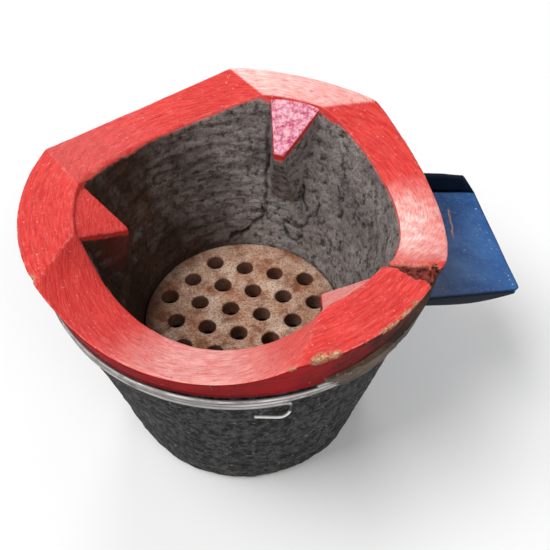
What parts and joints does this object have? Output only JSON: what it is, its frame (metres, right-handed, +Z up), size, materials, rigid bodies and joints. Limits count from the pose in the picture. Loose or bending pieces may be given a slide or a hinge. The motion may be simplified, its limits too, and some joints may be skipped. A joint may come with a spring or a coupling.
{
  "type": "clay charcoal stove",
  "caption": "Round portable clay charcoal stove: red scalloped rim with inward pot rests, loose perforated grate, black wire-bound jacket with an ash mouth, and a folded steel side shelf.",
  "frame": {"origin": "middle of the flat base that the stove stands on", "axes": "+Z up through the fire bowl, +X along the side shelf and over the ash mouth"},
  "size_m": [0.331, 0.2785, 0.213],
  "materials": {
    "red_painted_clay": "brushed red paint on fired clay, worn and sooted",
    "bare_clay": "bare fired clay with soot patches",
    "black_clay": "dull black paint on gritty clay",
    "mortar": "rough clay mortar",
    "galvanised_wire": "dull galvanised steel wire with black paint on it",
    "blue_painted_steel": "worn blue paint on sheet steel"
  },
  "bodies": {
    "stove": {"fire_bowl": "red_painted_clay", "pot_rest_left": "red_painted_clay", "pot_rest_back": "red_painted_clay", "pot_rest_right": "red_painted_clay", "jacket": "black_clay", "mortar_bed": "mortar", "wire_hoop": "galvanised_wire", "side_shelf": "blue_painted_steel"},
    "grate": {"grate": "bare_clay"}
  },
  "joints": [
    {"name": "grate_lift", "type": "slide", "parent": "stove", "child": "grate", "axis": [0, 0, 1], "range_m": [0, 0.06]}
  ]
}
